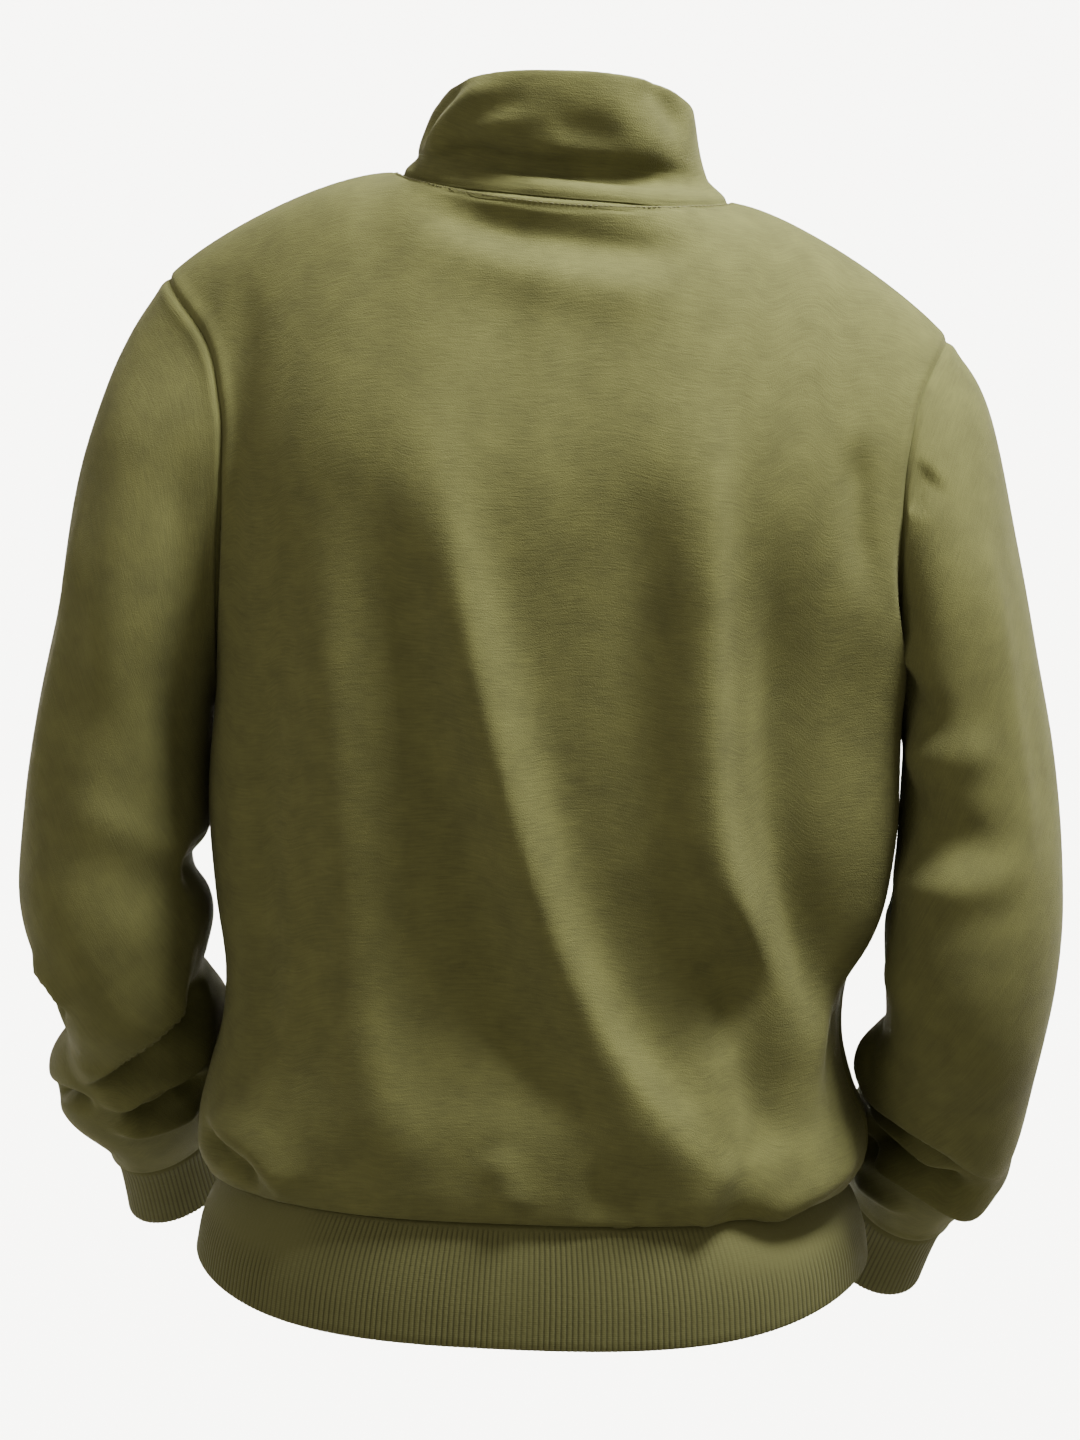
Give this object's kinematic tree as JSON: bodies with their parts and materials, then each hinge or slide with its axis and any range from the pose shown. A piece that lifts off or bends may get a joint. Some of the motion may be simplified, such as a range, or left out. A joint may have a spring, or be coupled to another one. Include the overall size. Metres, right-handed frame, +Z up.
{
  "type": "quarter zip sweater",
  "caption": "Worn-shape pullover with stand collar, quarter zip, set-in sleeves, ribbed cuffs and wide ribbed hem; hollow and open at neck, hem and wrists.",
  "frame": {"origin": "centre of the neck seam, level with its back, where the wearer's neck and shoulders hold the garment", "axes": "+Z up the body, -Y the way the wearer faces, +X to the wearer's left"},
  "size_m": [0.6399, 0.3158, 0.7884],
  "materials": {
    "fleece": "olive brushed fleece, soft short nap",
    "rib": "olive rib knit, 3 mm ribs",
    "zip_tape": "olive woven zip tape",
    "zip_coil": "olive nylon coil",
    "zip_metal": "antique brass plated zinc"
  },
  "bodies": {
    "garment": {"back_panel": "fleece", "front_panel": "fleece", "left_sleeve": "fleece", "right_sleeve": "fleece", "left_cuff": "rib", "right_cuff": "rib", "hem_band": "rib", "collar": "fleece", "left_zip_tape": "zip_tape", "right_zip_tape": "zip_tape", "zip_coil": "zip_coil", "zip_bottom_stop": "zip_metal", "zip_slider": "zip_metal"},
    "pull_tab": {"pull_tab": "zip_metal"}
  },
  "joints": [
    {"name": "pull_tab_swing", "type": "hinge", "parent": "garment", "child": "pull_tab", "pos_m": [0, -0.08415, -0.01596], "axis": [-1, 0, 0], "range_deg": [0, 150]}
  ]
}
